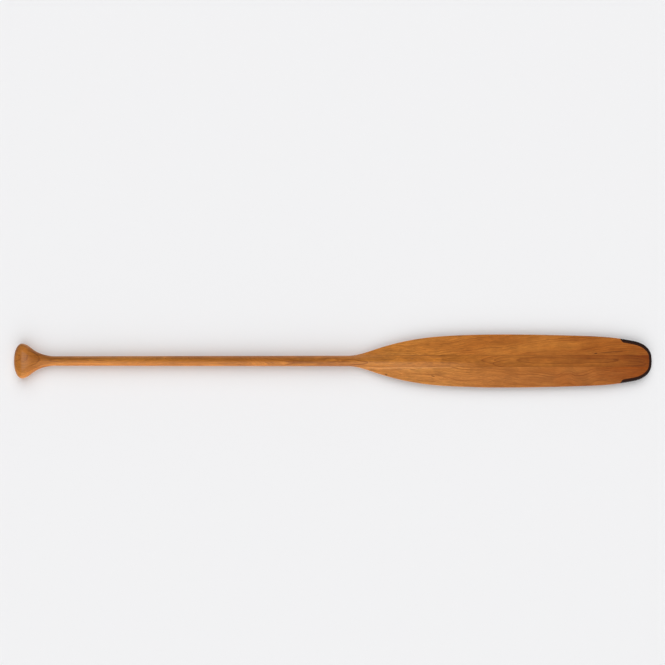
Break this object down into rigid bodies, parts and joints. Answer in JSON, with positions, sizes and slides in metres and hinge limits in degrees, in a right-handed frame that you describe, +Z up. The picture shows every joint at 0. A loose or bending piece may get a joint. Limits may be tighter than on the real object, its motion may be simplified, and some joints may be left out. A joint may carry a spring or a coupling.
{
  "type": "canoe paddle",
  "caption": "Laminated wooden canoe paddle: oval shaft, fan-shaped palm grip, long thin tapered blade, and a dark cast-resin guard keyed round the blade's tip.",
  "frame": {"origin": "under the middle of the paddle's length, on the surface that it lies on", "axes": "+X along the paddle from the grip to the blade's tip, +Y across the blade, +Z up out of the blade's upper face"},
  "size_m": [1.524, 0.1272, 0.0318],
  "materials": {
    "stave_cherry": "clear gloss varnish",
    "wing_cherry": "clear gloss varnish",
    "grip_cherry": "clear gloss varnish",
    "tip_resin": "polished cast resin"
  },
  "bodies": {
    "root": {"centre_stave": "stave_cherry", "blade_wing_left": "wing_cherry", "blade_wing_right": "wing_cherry", "grip_cheek_left": "grip_cherry", "grip_cheek_right": "grip_cherry", "tip_guard": "tip_resin"}
  },
  "joints": []
}
